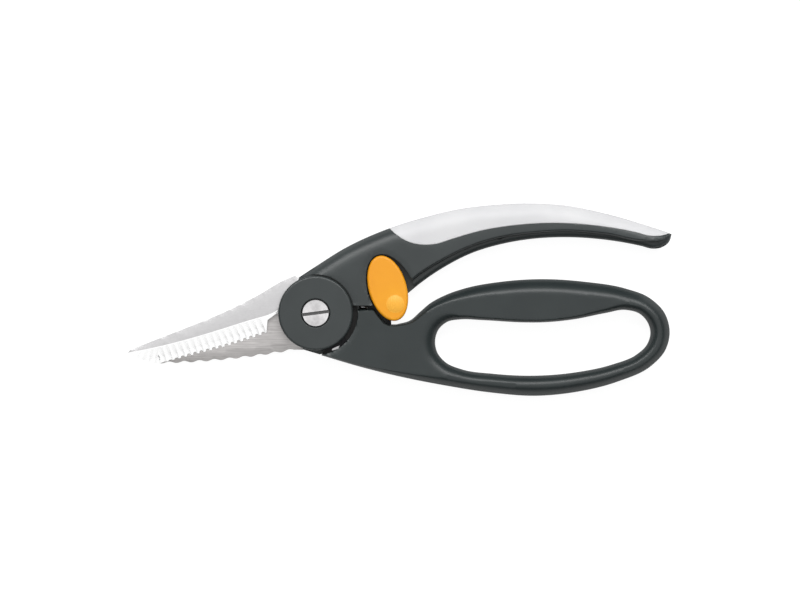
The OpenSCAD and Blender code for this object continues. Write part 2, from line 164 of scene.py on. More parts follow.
def stretch(a, b, c, d, t):
    """Point at t on the stretch from b to c of a curve that also passes a and d."""
    reach = np.linalg.norm(c - b)
    leave, arrive = slope(a, b, c) * reach, slope(b, c, d) * reach
    return ((2 * t**3 - 3 * t * t + 1) * b + (t**3 - 2 * t * t + t) * leave
            + (3 * t * t - 2 * t**3) * c + (t**3 - t * t) * arrive)


def curve(points, steps=SPAN_STEPS):
    """Smooth open curve through points."""
    p = np.array(points, float)
    last = len(p) - 1
    made = [stretch(p[max(i - 1, 0)], p[i], p[i + 1], p[min(i + 2, last)], s / steps)
            for i in range(last) for s in range(steps)]
    return np.array(made + [p[last]])


def ring(points, steps=SPAN_STEPS):
    """Smooth closed curve, with its first point repeated at the end."""
    p = np.array(points, float)
    n = len(p)
    made = [stretch(p[i - 1], p[i], p[(i + 1) % n], p[(i + 2) % n], s / steps)
            for i in range(n) for s in range(steps)]
    return np.array(made + [made[0]])


def spread(values, steps=SPAN_STEPS, closed=False):
    """Values at a curve's given points, spread over all of its points."""
    values = list(values) + ([values[0]] if closed else [])
    at = np.arange(len(values)) * steps
    return np.interp(np.arange(at[-1] + 1), at, values)


def shut(points):
    """Closed line of straight stretches, with its first point repeated at the end."""
    p = np.array(points, float)
    return np.vstack([p, p[:1]])


def dense(line, step=0.7):
    """Line, and any values beside its points, with points added where they are over a step apart."""
    made = [line[:1]]
    for a, b in zip(line[:-1], line[1:]):
        count = max(1, math.ceil(np.linalg.norm(b[:2] - a[:2]) / step))
        made.append(a + (b - a) * np.arange(1, count + 1)[:, None] / count)
    return np.vstack(made)


def circle(radius, centre=(0, 0), count=120):
    """Closed circle round a centre, with its first point repeated at the end."""
    a = np.linspace(0, 2 * math.pi, count + 1)
    return np.array(centre) + radius * np.c_[np.cos(a), np.sin(a)]


def oval(grow, turned=0, count=90):
    """Outline of the thumb lever, grown and swung about its pin."""
    a = np.linspace(0, 2 * math.pi, count + 1)[:, None]
    long_way = np.array([math.sin(LEVER_TILT), -math.cos(LEVER_TILT)])
    short_way = np.array([math.cos(LEVER_TILT), math.sin(LEVER_TILT)])
    long_part = (LEVER_LONG + grow) * np.cos(a) * long_way
    short_part = (LEVER_SHORT + grow) * np.sin(a) * short_way
    p = LEVER_CENTRE + long_part + short_part
    c, s = math.cos(math.radians(turned)), math.sin(math.radians(turned))
    return LEVER_PIN + (p - LEVER_PIN) @ np.array([[c, s], [-s, c]])


def inside(line, pts):
    """Which points lie inside a closed line, by counting crossings."""
    corners = np.array(line, float)
    hit = np.zeros(len(pts), bool)
    for (ax, ay), (bx, by) in zip(corners, np.roll(corners, -1, 0)):
        if ay != by:
            crossing = (ay > pts[:, 1]) != (by > pts[:, 1])
            hit ^= crossing & (pts[:, 0] < (bx - ax) * (pts[:, 1] - ay) / (by - ay) + ax)
    return hit


def near(line, pts, values=None, batch=500):
    """Distance of each point to a line, and the line's value at the nearest place."""
    a, seg = line[:-1], np.diff(line, axis=0)
    size = np.maximum((seg**2).sum(1), 1e-12)
    values = np.zeros(len(line)) if values is None else values
    far_off, value = np.empty(len(pts)), np.empty(len(pts))
    for first in range(0, len(pts), batch):
        p = pts[first:first + batch]
        dx, dy = p[:, :1] - a[:, 0], p[:, 1:] - a[:, 1]
        t = np.clip((dx * seg[:, 0] + dy * seg[:, 1]) / size, 0, 1)
        gap = (dx - t * seg[:, 0])**2 + (dy - t * seg[:, 1])**2
        best = gap.argmin(1)
        row = np.arange(len(p))
        far_off[first:first + batch] = np.sqrt(gap[row, best])
        value[first:first + batch] = values[best] + t[row, best] * (values[best + 1] - values[best])
    return far_off, value


def rise(depth, width, power=2.0):
    """Height from 0 to 1 of a rounded edge, at a depth in from it."""
    left = np.clip(1 - depth / width, 0, 1)
    return (1 - left**power)**(1 / power)


# ---------------------------------------------------------------- meshes over a plan

def rim_points(line, width, side, count=9):
    """Rows of points along a rounded edge, close together where it is steep."""
    way = np.gradient(line, axis=0)
    way /= np.maximum(np.linalg.norm(way, axis=1), 1e-9)[:, None]
    across = np.c_[-way[:, 1], way[:, 0]] * side
    rows = []
    for k in range(1, count + 1):
        depth = width * (1 - math.cos(math.pi / 2 * k / count))
        p = line + across * depth[:, None]
        gap, _ = near(line, p)
        rows.append(p[gap > 0.93 * depth])
    return rows


def rim(line, width, side):
    """Rounded edge of one width. Side is 1 where the solid lies left of the line, and -1 right of it."""
    return line, np.full(len(line), float(width)), side


def fill_points(lines, rims, step):
    """Points for a plan: rows along its rounded edges and an even grid elsewhere."""
    made = []
    for i, (line, width, side) in enumerate(rims):
        for row in rim_points(line, width, side):
            own, own_width = near(line, row, width)
            keep = np.ones(len(row), bool)
            for j, (other, other_width, _) in enumerate(rims):
                if i != j:
                    gap, w = near(other, row, other_width)
                    keep &= own / own_width < gap / w - 0.02
            for other in lines:
                keep &= near(other, row)[0] > 0.12
            made.append(row[keep])
    low = np.min([line.min(0) for line in lines], 0)
    high = np.max([line.max(0) for line in lines], 0)
    xs, ys = np.arange(low[0], high[0], step), np.arange(low[1], high[1], step * 0.87)
    grid = np.array([[x + (step / 2 if k % 2 else 0), y] for k, y in enumerate(ys) for x in xs])
    for line in lines:
        grid = grid[near(line, grid)[0] > 0.45 * step]
    for line, width, _ in rims:
        gap, w = near(line, grid, width)
        grid = grid[gap > w + 0.3 * step]
    return np.vstack(made + [grid])


def skin(plan, faces, tops, bottoms):
    """Corners and polygons of the tops, bottoms and walls of cells over a plan.

    Each of faces is (plan points, cell), and tops and bottoms hold each cell's height at every plan point.
    """
    side_of = {(u, v): cell for face, cell in faces for u, v in zip(face, face[1:] + face[:1])}
    # Where a cell's bottom would cross its neighbour's top between two points, it meets it at one of them
    for (u, v), cell in side_of.items():
        other = side_of.get((v, u), cell)
        gaps = {p: bottoms[cell][p] - tops[other][p] for p in (u, v)}
        if other != cell and gaps[u] * gaps[v] < 0:
            bottoms[cell][max(gaps, key=gaps.get)] -= max(gaps.values())
    # Every height in use at a point, so that walls of unequal height share their corners
    levels = {}
    for (u, _), cell in side_of.items():
        levels.setdefault(u, set()).update((tops[cell][u], bottoms[cell][u]))
    ids, polygons = {}, []

    def add(places):
        """Polygon through places, each a plan point and a height, without repeated corners."""
        loop = [ids.setdefault(place, len(ids)) for place in places]
        loop = [corner for corner, before in zip(loop, loop[-1:] + loop[:-1]) if corner != before]
        if len(set(loop)) > 2:
            polygons.append(loop)

    def between(p, low, high):
        return sorted(z for z in levels[p] if low < z < high)

    for face, cell in faces:
        top, bottom = tops[cell], bottoms[cell]
        if any(top[p] > bottom[p] for p in face):
            add([(p, top[p]) for p in face])
            add([(p, bottom[p]) for p in reversed(face)])
    for (u, v), cell in side_of.items():
        other = side_of.get((v, u))
        if other == cell:
            continue
        low, high = bottoms[cell], tops[cell]
        if other is None:
            spans = [(low[u], high[u], low[v], high[v])]
        else:
            under = [min(max(bottoms[other][p], low[p]), high[p]) for p in (u, v)]
            over = [max(min(tops[other][p], high[p]), low[p]) for p in (u, v)]
            spans = [(low[u], under[0], low[v], under[1]), (over[0], high[u], over[1], high[v])]
        for low_u, high_u, low_v, high_v in spans:
            if high_u > low_u or high_v > low_v:
                rising = [(v, z) for z in between(v, low_v, high_v)]
                falling = [(u, z) for z in reversed(between(u, low_u, high_u))]
                add([(u, low_u), (v, low_v), *rising, (v, high_v), (u, high_u), *falling])
    return [(plan[p][0] * MM, plan[p][1] * MM, z * MM) for p, z in ids], polygons


def plan_mesh(name, lines, rims, cells, step=1.5, more=()):
    """Closed mesh over a plan, cut along lines, with finer rows of points along rims and at more.

    Each cell is (inside(points), top(points), bottom(points)), and the first that holds a place counts.
    """
    lines = [dense(line) for line in lines]
    rims = [(dense(np.c_[line, width]), side) for line, width, side in rims]
    points = fill_points(lines, [(line[:, :2], line[:, 2], side) for line, side in rims], step)
    spots, edges = [], []
    for line in lines:
        edges += [(len(spots) + i, len(spots) + i + 1) for i in range(len(line) - 1)]
        spots += [Vector(p) for p in line]
    spots += [Vector(p) for block in (points, *more) for p in block]
    plan, _, faces, *_ = delaunay_2d_cdt(spots, edges, [], 0, 1e-4)
    plan = np.array([spot[:] for spot in plan])
    faces = [list(face) for face in faces]
    middles = np.array([plan[face].mean(0) for face in faces])
    kind = np.full(len(faces), -1)
    for i, (within, _, _) in enumerate(cells):
        kind[(kind < 0) & within(middles)] = i
    tops = [np.round(top(plan), 4) for _, top, _ in cells]
    bottoms = [np.minimum(np.round(bottom(plan), 4), top) for (_, _, bottom), top in zip(cells, tops)]
    used = [(face, cell) for face, cell in zip(faces, kind) if cell >= 0]
    return new_piece(name, *skin(plan, used, tops, bottoms))


def new_piece(name, corners, polygons, sharp=32):
    """Smooth-shaded object, with its edges sharper than sharp degrees left crisp."""
    mesh = bpy.data.meshes.new(name)
    mesh.from_pydata(corners, [], polygons)
    mesh.validate()
    mesh.update()
    mesh.shade_smooth()
    mesh.set_sharp_from_angle(angle=math.radians(sharp))
    piece = bpy.data.objects.new(name, mesh)
    bpy.context.scene.collection.objects.link(piece)
    facing = piece.modifiers.new("flat faces stay flat", "WEIGHTED_NORMAL")
    facing.keep_sharp = True
    return piece


def lathe(name, profile, count=144, sharp=32):
    """Closed profile of (radius, height) turned round the pivot axis."""
    angles = [2 * math.pi * i / count for i in range(count)]
    corners = [(r * math.cos(a) * MM, r * math.sin(a) * MM, z * MM) for a in angles for r, z in profile]
    rows = len(profile)
    polygons = []
    for i in range(count):
        for k in range(rows):
            up, on = (k + 1) % rows, (i + 1) % count
            polygons.append((i * rows + k, on * rows + k, on * rows + up, i * rows + up))
    return new_piece(name, corners, polygons, sharp)


def place(piece, body, slot, finish, node):
    """Gives a piece its finish and body, in place of a CAD node. The slot is not used."""
    piece.data.materials.append(finish)
    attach(piece, body)
    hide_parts(node)


def face_points(piece):
    """Plan position of the middle of each of a piece's faces."""
    return np.array([face.center[:2] for face in piece.data.polygons]) / MM


def refinish(piece, finish, chosen):
    """Gives another finish to the chosen ones of a piece's faces."""
    piece.data.materials.append(finish)
    index = len(piece.data.materials) - 1
    for face, hit in zip(piece.data.polygons, chosen):
        if hit:
            face.material_index = index


# ---------------------------------------------------------------- materials

def material(name, colour, metallic, roughness):
    """New material, with its node tree, its shader and the object coordinates."""
    made = bpy.data.materials.new(name)
    made.use_nodes = True
    tree = made.node_tree
    shader = tree.nodes["Principled BSDF"]
    shader.inputs["Base Color"].default_value = (*colour, 1)
    shader.inputs["Metallic"].default_value = metallic
    shader.inputs["Roughness"].default_value = roughness
    where = tree.nodes.new("ShaderNodeTexCoord")
    return made, tree, shader, where.outputs["Object"]


def noise(tree, where, scale, detail=4.0, squeeze=(1, 1, 1), turn=0.0, distortion=0.0):
    """Noise with features of 1/scale metres, drawn out by squeeze along a direction turned about Z."""
    mapping = tree.nodes.new("ShaderNodeMapping")
    mapping.inputs["Scale"].default_value = squeeze
    mapping.inputs["Rotation"].default_value = (0, 0, turn)
    tree.links.new(where, mapping.inputs["Vector"])
    texture = tree.nodes.new("ShaderNodeTexNoise")
    texture.inputs["Scale"].default_value = scale
    texture.inputs["Detail"].default_value = detail
    texture.inputs["Distortion"].default_value = distortion
    tree.links.new(mapping.outputs["Vector"], texture.inputs["Vector"])
    return texture.outputs["Fac"]


# Most of a noise's values lie between these two
NOISE_LOW = 0.3
NOISE_HIGH = 0.7


def between_values(tree, factor, low, high):
    """Values from low to high, as a factor goes over the span of a noise."""
    ramp = tree.nodes.new("ShaderNodeMapRange")
    ramp.inputs["From Min"].default_value = NOISE_LOW
    ramp.inputs["From Max"].default_value = NOISE_HIGH
    ramp.inputs["To Min"].default_value = low
    ramp.inputs["To Max"].default_value = high
    tree.links.new(factor, ramp.inputs["Value"])
    return ramp.outputs["Result"]


def between_colours(tree, factor, low, high):
    """Colours from low to high, as a factor goes over the span of a noise."""
    ramp = tree.nodes.new("ShaderNodeValToRGB")
    ramp.color_ramp.elements[0].position = NOISE_LOW
    ramp.color_ramp.elements[0].color = (*low, 1)
    ramp.color_ramp.elements[1].position = NOISE_HIGH
    ramp.color_ramp.elements[1].color = (*high, 1)
    tree.links.new(factor, ramp.inputs["Fac"])
    return ramp.outputs["Color"]


def bump(tree, shader, height, depth):
    """Relief on a shader's surface, depth millimetres deep."""
    node = tree.nodes.new("ShaderNodeBump")
    node.inputs["Distance"].default_value = depth * MM
    tree.links.new(height, node.inputs["Height"])
    tree.links.new(node.outputs["Normal"], shader.inputs["Normal"])


def moulded(name, low, high, roughness, grain=0.35, depth=0.006):
    """Moulded plastic: fine grain in millimetres, slight drift of colour, and little gloss at a slant."""
    made, tree, shader, where = material(name, low, 0, roughness)
    facing = tree.nodes.new("ShaderNodeLayerWeight")
    facing.inputs["Blend"].default_value = 0.5
    gloss = between_values(tree, facing.outputs["Facing"], 0.40, 0.04)
    tree.links.new(gloss, shader.inputs["Specular IOR Level"])
    drift = noise(tree, where, 60, 3)
    tree.links.new(between_colours(tree, drift, low, high), shader.inputs["Base Color"])
    fine = noise(tree, where, 1 / (grain * MM), 3)
    dull = between_values(tree, fine, roughness - 0.05, roughness + 0.06)
    tree.links.new(dull, shader.inputs["Roughness"])
    bump(tree, shader, fine, depth)
    return made


def drawn_steel(name, low, high, roughness, degrees, scale, squeeze, depth, distortion=0.0, vary=0.07):
    """Steel with grain lines along one direction."""
    made, tree, shader, where = material(name, high, 1, roughness)
    lines = noise(tree, where, scale, 6, squeeze, math.radians(degrees), distortion)
    tree.links.new(between_colours(tree, lines, low, high), shader.inputs["Base Color"])
    dull = between_values(tree, lines, roughness - vary, roughness + vary)
    tree.links.new(dull, shader.inputs["Roughness"])
    bump(tree, shader, lines, depth)
    return made


def turned_steel(name, low, high, roughness, slot_z):
    """Lathe-turned steel: fine rings that throw fans of light, and a near-black painted shade below the
    height of its slot.
    """
    made, tree, shader, where = material(name, high, 1, roughness)
    rings = tree.nodes.new("ShaderNodeTexWave")
    rings.wave_type = "RINGS"
    rings.rings_direction = "Z"
    rings.inputs["Scale"].default_value = 900
    rings.inputs["Distortion"].default_value = 0.4
    tree.links.new(where, rings.inputs["Vector"])
    height = tree.nodes.new("ShaderNodeSeparateXYZ")
    tree.links.new(where, height.inputs["Vector"])
    above = tree.nodes.new("ShaderNodeMath")
    above.operation = "GREATER_THAN"
    above.inputs[1].default_value = slot_z * MM
    tree.links.new(height.outputs["Z"], above.inputs[0])
    # Painted shade: below slot_z, in the slot and down the head's sides, the colour turns near black
    mix = tree.nodes.new("ShaderNodeMixRGB")
    mix.inputs["Color1"].default_value = (0.10, 0.10, 0.10, 1)
    tree.links.new(above.outputs["Value"], mix.inputs["Fac"])
    tree.links.new(between_colours(tree, noise(tree, where, 700, 3), low, high), mix.inputs["Color2"])
    tree.links.new(mix.outputs["Color"], shader.inputs["Base Color"])
    tangent = tree.nodes.new("ShaderNodeTangent")
    tangent.direction_type = "RADIAL"
    tangent.axis = "Z"
    tree.links.new(tangent.outputs["Tangent"], shader.inputs["Tangent"])
    shader.inputs["Anisotropic"].default_value = 0.7
    bump(tree, shader, rings.outputs["Fac"], 0.0006)
    return made


HANDLE_DARK = moulded("handle_plastic_grained", (0.023, 0.028, 0.0285), (0.028, 0.034, 0.0345), 0.38)
LOOP_DARK = moulded("loop_plastic_grained", (0.013, 0.018, 0.0185), (0.017, 0.023, 0.0235), 0.38)
# Near-black plastic that paints the shade down in the deep gap between the hub cover and the loop handle
GAP_PAINTED_SHADE = moulded("gap_floor_painted_shade", (0.002, 0.002, 0.002), (0.004, 0.004, 0.004), 0.6)
INLAY_SOFT = moulded("inlay_rubber_satin", (0.50, 0.50, 0.51), (0.54, 0.54, 0.547), 0.5, 0.5, 0.004)
LEVER_ORANGE = moulded("lever_plastic_orange", (0.65, 0.252, 0.001), (0.69, 0.287, 0.003), 0.45, 0.6, 0.01)
LEVER_SPOT = moulded("lever_thumb_spot", (0.71, 0.33, 0.022), (0.75, 0.365, 0.032), 0.45, 0.6, 0.01)
BLADE_FACE = drawn_steel("blade_face_satin", (0.515, 0.51, 0.515), (0.555, 0.55, 0.555), 0.3,
                         -15, 2600, (0.35, 1, 1), 0.0006, 0.0, 0.02)
BLADE_GRIND = drawn_steel("blade_ground_edge", (0.97, 0.97, 0.97), (1.0, 1.0, 1.0), 0.25,
                          -15, 1500, (1, 0.05, 1), 0.0003, 0.0, 0.02)
BLADE_BRUSHED = drawn_steel("blade_brushed_wavy", (0.335, 0.322, 0.318), (0.49, 0.475, 0.467), 0.42,
                            -10, 1100, (0.05, 1, 1), 0.006, 1.5)
SCREW_TURNED = turned_steel("screw_turned", (0.53, 0.52, 0.525), (0.65, 0.64, 0.645), 0.3, 14.9)
SMALL_STEEL = drawn_steel("small_parts_plated", (0.55, 0.55, 0.56), (0.75, 0.75, 0.76), 0.3,
                          0, 1200, (1, 1, 0.3), 0.002)
# Blackened steel of the lock's catch parts; also painted shade on the front blade's tang, in the gap round
# the hub cover
BLACK_STEEL = drawn_steel("catch_blackened_and_tang_painted_shade", (0.012, 0.012, 0.013), (0.03, 0.03, 0.032), 0.45,
                          0, 1200, (1, 0.3, 1), 0.002)


# ---------------------------------------------------------------- handles

INLAY_LINE = curve(INLAY_EDGE)
INLAY_AREA = np.vstack([INLAY_LINE, INLAY_ROUND])
BOW_OUTLINE = np.vstack([curve(BOW_OUTER), curve(BOW_INNER), BOW_ROOT])
FRONT_OUTLINE = np.vstack([curve(BOW_OUTER[:-1]), curve(LIP_LINE), BOW_ROOT])
PALM_LINE = np.vstack([curve(BOW_OUTER), curve(BOW_INNER[:3])])
GRIP_LINE = curve(BOW_INNER[2:])
LIP_EDGE = curve(LIP_LINE)
RECESS = [oval(0.6, turned) for turned in (0, LEVER_SWING / 2, LEVER_SWING)]
HOLE_LINE = ring(LOOP_HOLE)
LOOP_LINE = np.vstack([LUG, curve(LOOP_OUTER)])
LOOP_ROUND = np.concatenate([LUG_ROUND, spread(LOOP_OUTER_ROUND)])
HOLE_ROUND = spread(LOOP_HOLE_ROUND, closed=True)
LOOP_OUTLINE = np.vstack([LOOP_LINE, [[8, -10]]])


def radius(p):
    return np.hypot(p[:, 0], p[:, 1])


def flat(z):
    return lambda p: np.full(len(p), float(z))


def in_recess(p):
    return np.any([inside(line, p) for line in RECESS], axis=0)


def spring_room(p):
    """Height of the spring's channel above and below the seam."""
    return np.sqrt(np.maximum(SPRING_ROOM_R**2 - (p[:, 0] - SPRING_CENTRE[0])**2, 0))


def in_spring_room(p):
    across, along_it = abs(p[:, 0] - SPRING_CENTRE[0]), abs(p[:, 1] - SPRING_CENTRE[1])
    return (across < SPRING_ROOM_R) & (along_it < SPRING_ROOM_HALF)


# Boxes of three widths, so that the channel's round section has points across it
SPRING_LINES = [shut([[SPRING_CENTRE[0] + across * half, SPRING_CENTRE[1] + up * SPRING_ROOM_HALF]
                      for across, up in ((-1, -1), (1, -1), (1, 1), (-1, 1))])
                for half in (1.2, 2.1, SPRING_ROOM_R)]


def softened(top, gap, drop, width):
    """Top of a face, rounded down by drop within width of an edge that lies gap away."""
    return top - drop * (1 - rise(gap, width))


def spring_roof(p):
    return SEAM_Z + spring_room(p)


def spring_floor(p):
    return SEAM_Z - spring_room(p)


def palm_top(p):
    """Top of the bow, rounded on its palm side."""
    return SEAM_Z + (FACE_Z - SEAM_Z) * rise(near(PALM_LINE, p)[0], PALM_ROUND, FULL)


def palm_back(p):
    """Share of the full depth behind the seam, rounded on the palm side."""
    return rise(near(PALM_LINE, p)[0], PALM_BACK_ROUND, FULL)


def bow_front_top(p):
    start = LIP_Z - 0.35
    top = np.minimum(palm_top(p), start + (FACE_Z - start) * rise(near(LIP_EDGE, p)[0], LIP_ROUND))
    recess = np.min([near(line, p)[0] for line in RECESS], axis=0)
    top = np.minimum(top, softened(FACE_Z, recess, 0.45, RECESS_ROUND))
    top = np.minimum(top, softened(FACE_Z, np.abs(radius(p) - HUB_OPEN_R), 0.35, 0.4))
    return softened(top, near(INLAY_LINE, p)[0], 0.12, 0.35)


def bow_back_bottom(p):
    return SEAM_Z * (1 - np.minimum(palm_back(p), rise(near(GRIP_LINE, p)[0], GRIP_BACK_ROUND)))


def make_bow_front():
    rims = [rim(PALM_LINE, PALM_ROUND, -1), rim(LIP_EDGE, LIP_ROUND, -1)]
    rims += [rim(line, RECESS_ROUND, 1) for line in (RECESS[0], RECESS[2])]
    lines = [shut(FRONT_OUTLINE), INLAY_LINE, circle(HUB_OPEN_R), circle(GROOVE_R), *RECESS,
             *SPRING_LINES, circle(BLADE_SWEEP_R)]

    def within(p):
        shell = inside(FRONT_OUTLINE, p) & ~inside(INLAY_AREA, p)
        return shell & (radius(p) > HUB_OPEN_R) & ~in_recess(p)

    def groove(p):
        return inside(FRONT_OUTLINE, p) & (radius(p) > GROOVE_R) & (radius(p) < HUB_OPEN_R)

    def over_blade(p):
        return within(p) & (radius(p) < BLADE_SWEEP_R)

    cells = [(groove, flat(GROOVE_TOP_Z), flat(BLADE_SWEEP_Z)),
             (over_blade, lambda p: np.maximum(bow_front_top(p), BLADE_SWEEP_Z), flat(BLADE_SWEEP_Z)),
             (lambda p: within(p) & in_spring_room(p), bow_front_top, spring_roof),
             (within, bow_front_top, flat(SEAM_Z))]
    piece = plan_mesh("bow_front", lines, rims, cells)
    place(piece, "upper_half", "handle_plastic", HANDLE_DARK, "upper_front_shell")


def screw_lines(places):
    return [circle(SCREW_RECESS_R, centre, 40) for centre in places]


def in_screws(places, p):
    """Which points lie in the screws' recesses, a little inside the corners of their lines."""
    reach = SCREW_RECESS_R - 0.02
    return np.any([np.hypot(*(p - centre).T) < reach for centre in np.array(places, float)], axis=0)


def make_bow_back():
    hexagon = circle(NUT_R, count=6)
    lines = [shut(BOW_OUTLINE), shut(FRONT_OUTLINE), INLAY_LINE, circle(HUB_R), circle(HUB_OPEN_R),
             shut(HUB_HEEL), *RECESS, *SPRING_LINES, shut(LOCK_ROOM), shut(TONGUE_ROOM), hexagon,
             circle(BLADE_SWEEP_R), *screw_lines(UPPER_SCREWS)]
    rims = [rim(PALM_LINE, PALM_BACK_ROUND, -1), rim(GRIP_LINE, 3, -1),
            rim(circle(HUB_R), HUB_ROUND, 1)]

    def in_bow(p):
        return inside(BOW_OUTLINE, p) & ~inside(INLAY_AREA, p)

    def in_hub(p):
        return (radius(p) < HUB_R) | inside(HUB_HEEL, p) | (in_bow(p) & (radius(p) < HUB_OPEN_R))

    def in_strip(p):
        return in_bow(p) & ~inside(FRONT_OUTLINE, p) & ~in_recess(p)

    def strip_top(p):
        edge = np.minimum(near(GRIP_LINE, p)[0], near(PALM_LINE, p)[0])
        return SEAM_Z + (LIP_Z - SEAM_Z) * rise(edge, 2.6)

    def bottom(p):
        hub_edge = HUB_FLOOR_Z * (1 - rise(np.maximum(HUB_R - radius(p), 0), HUB_ROUND))
        parts = [(radius(p) < HUB_R, hub_edge), (inside(HUB_HEEL, p), HUB_FLOOR_Z),
                 (inside(BOW_OUTLINE, p), bow_back_bottom(p)), (radius(p) < HEEL_R, HUB_FLOOR_Z)]
        return np.min([np.where(part, low, NO_UNDERSIDE) for part, low in parts], axis=0)

    cells = [(lambda p: inside(hexagon, p), flat(HUB_BACK_Z), flat(NUT_SEAT_Z)),
             (in_hub, flat(HUB_BACK_Z), bottom),
             (lambda p: in_bow(p) & in_screws(UPPER_SCREWS, p), flat(SEAM_Z), flat(SCREW_RECESS_Z)),
             (lambda p: in_bow(p) & inside(TONGUE_ROOM, p), flat(TONGUE_ROOM_HIGH_Z),
              flat(TONGUE_ROOM_LOW_Z)),
             (lambda p: in_bow(p) & in_spring_room(p), spring_floor, bow_back_bottom),
             (lambda p: in_bow(p) & inside(LOCK_ROOM, p), flat(LOCK_ROOM_Z), bow_back_bottom),
             (in_strip, strip_top, bow_back_bottom),
             (lambda p: in_bow(p) & (radius(p) < BLADE_SWEEP_R), flat(SEAM_Z - 0.1), bow_back_bottom),
             (in_bow, flat(SEAM_Z), bow_back_bottom)]
    piece = plan_mesh("bow_back", lines, rims, cells)
    place(piece, "upper_half", "handle_plastic", HANDLE_DARK, "upper_back_shell")


def make_inlay():
    lines = [shut(BOW_OUTLINE), INLAY_LINE]
    rims = [rim(PALM_LINE, PALM_ROUND, -1), rim(INLAY_LINE, 0.5, 1)]

    def edge(p):
        return 0.3 * (1 - rise(near(INLAY_LINE, p)[0], 0.5))

    def top(p):
        return np.maximum(palm_top(p) - edge(p), SEAM_Z)

    def bottom(p):
        return np.minimum(SEAM_Z * (1 - palm_back(p)) + edge(p), SEAM_Z)

    cells = [(lambda p: inside(BOW_OUTLINE, p) & inside(INLAY_AREA, p), top, bottom)]
    piece = plan_mesh("palm_pad", lines, rims, cells)
    place(piece, "upper_half", "palm_inlay", INLAY_SOFT, "palm_inlay")


def loop_height(p, power):
    """Share of the full height over the loop handle: a tube round the hole, flat towards the hub."""
    outer, outer_width = near(LOOP_LINE, p, LOOP_ROUND)
    hole, hole_width = near(HOLE_LINE, p, HOLE_ROUND)
    fit = np.minimum(1, (outer + hole) / (outer_width + hole_width))
    return np.minimum(rise(outer, outer_width * fit, power), rise(hole, hole_width * fit))


def in_loop(p):
    return inside(LOOP_OUTLINE, p) & ~inside(HOLE_LINE, p) & (radius(p) > HUB_GAP_R)


def loop_lines():
    return [shut(LOOP_OUTLINE), HOLE_LINE, circle(HUB_GAP_R), *SPRING_LINES]


def in_flange(p):
    ring_part = inside(LOOP_OUTLINE, p) & (radius(p) < HUB_GAP_R)
    return (ring_part | inside(FLANGE_END, p)) & (radius(p) > FLANGE_R) & ~in_loop(p)


def in_front_tang(p):
    return inside(FRONT_TANG, p)


def loop_rims():
    return [(LOOP_LINE, LOOP_ROUND, -1), (HOLE_LINE, HOLE_ROUND, 1)]


def make_loop_front():
    def top(p):
        made = SEAM_Z + (FACE_Z - SEAM_Z) * loop_height(p, 1.6)
        return np.minimum(made, softened(FACE_Z, np.abs(radius(p) - HUB_GAP_R), 0.4, 0.45))

    cells = [(lambda p: in_loop(p) & in_spring_room(p), top, spring_roof),
             (lambda p: in_loop(p) & in_front_tang(p), top, flat(BLADE_TOP_Z + 0.05)),
             (in_loop, top, flat(SEAM_Z)),
             (lambda p: in_flange(p) & in_spring_room(p), flat(BLADE_TOP_Z), spring_roof),
             (lambda p: in_flange(p) & ~in_front_tang(p), flat(BLADE_TOP_Z), flat(SEAM_Z))]
    lines = loop_lines() + [shut(FRONT_TANG), circle(FLANGE_R), shut(FLANGE_END)]
    piece = plan_mesh("loop_front", lines, loop_rims(), cells)
    place(piece, "lower_half", "handle_plastic", LOOP_DARK, "loop_front_shell")
    heights = np.array([face.center.z for face in piece.data.polygons]) / MM
    # Faces down in the gap round the hub cover, the flange and the gap's lower walls, get near-black
    # painted shade
    refinish(piece, GAP_PAINTED_SHADE, (radius(face_points(piece)) < HUB_GAP_R + 0.02) & (heights < FACE_Z - 1.5))


def make_loop_back():
    def bottom(p):
        return SEAM_Z * (1 - loop_height(p, 2.0))

    def in_tongue(p):
        return inside(TONGUE_EDGE, p)

    cells = [(lambda p: in_loop(p) & in_screws(LOOP_SCREWS, p), flat(SEAM_Z), flat(SCREW_RECESS_Z)),
             (lambda p: in_loop(p) & in_spring_room(p), spring_floor, bottom),
             (lambda p: in_loop(p) & inside(CATCH_EDGE, p), flat(CATCH_SEAT_Z), bottom),
             (lambda p: in_loop(p) & in_tongue(p), flat(SEAM_Z),
              lambda p: np.minimum(bottom(p), TONGUE_LOW_Z)),
             (in_loop, flat(SEAM_Z), bottom),
             (in_tongue, flat(TONGUE_HIGH_Z), flat(TONGUE_LOW_Z))]
    lines = loop_lines() + [shut(CATCH_EDGE), shut(TONGUE_EDGE)] + screw_lines(LOOP_SCREWS)
    piece = plan_mesh("loop_back", lines, loop_rims(), cells)
    place(piece, "lower_half", "handle_plastic", LOOP_DARK, "loop_back_shell")


# ---------------------------------------------------------------- blades

SPINE = [[-8.3, 16.1], [-9.5, 16.9], [-11.7, 16.2], [-28.3, 7.2], [-44.9, -0.9], [-57.3, -6],
         [-73.8, -12.4], [-85.2, -16.9]]
TIP_EDGE = [[-72, -23.1], [-77, -22.3], [-80.8, -21.1], [-84.3, -19.9], [-86.6, -18.7], [-85.2, -16.9]]
TOOTH_LINE = [[-22.8, -9.2], [-31.3, -12.1], [-39.9, -14.8], [-48.3, -17.1], [-56.9, -19.3],
              [-65.5, -21.5], [-72, -23.1]]
HEEL_EDGE = [[0, 0], [-16.3, 1.2], [-19.6, -1.3], [-22.2, -3.2]]
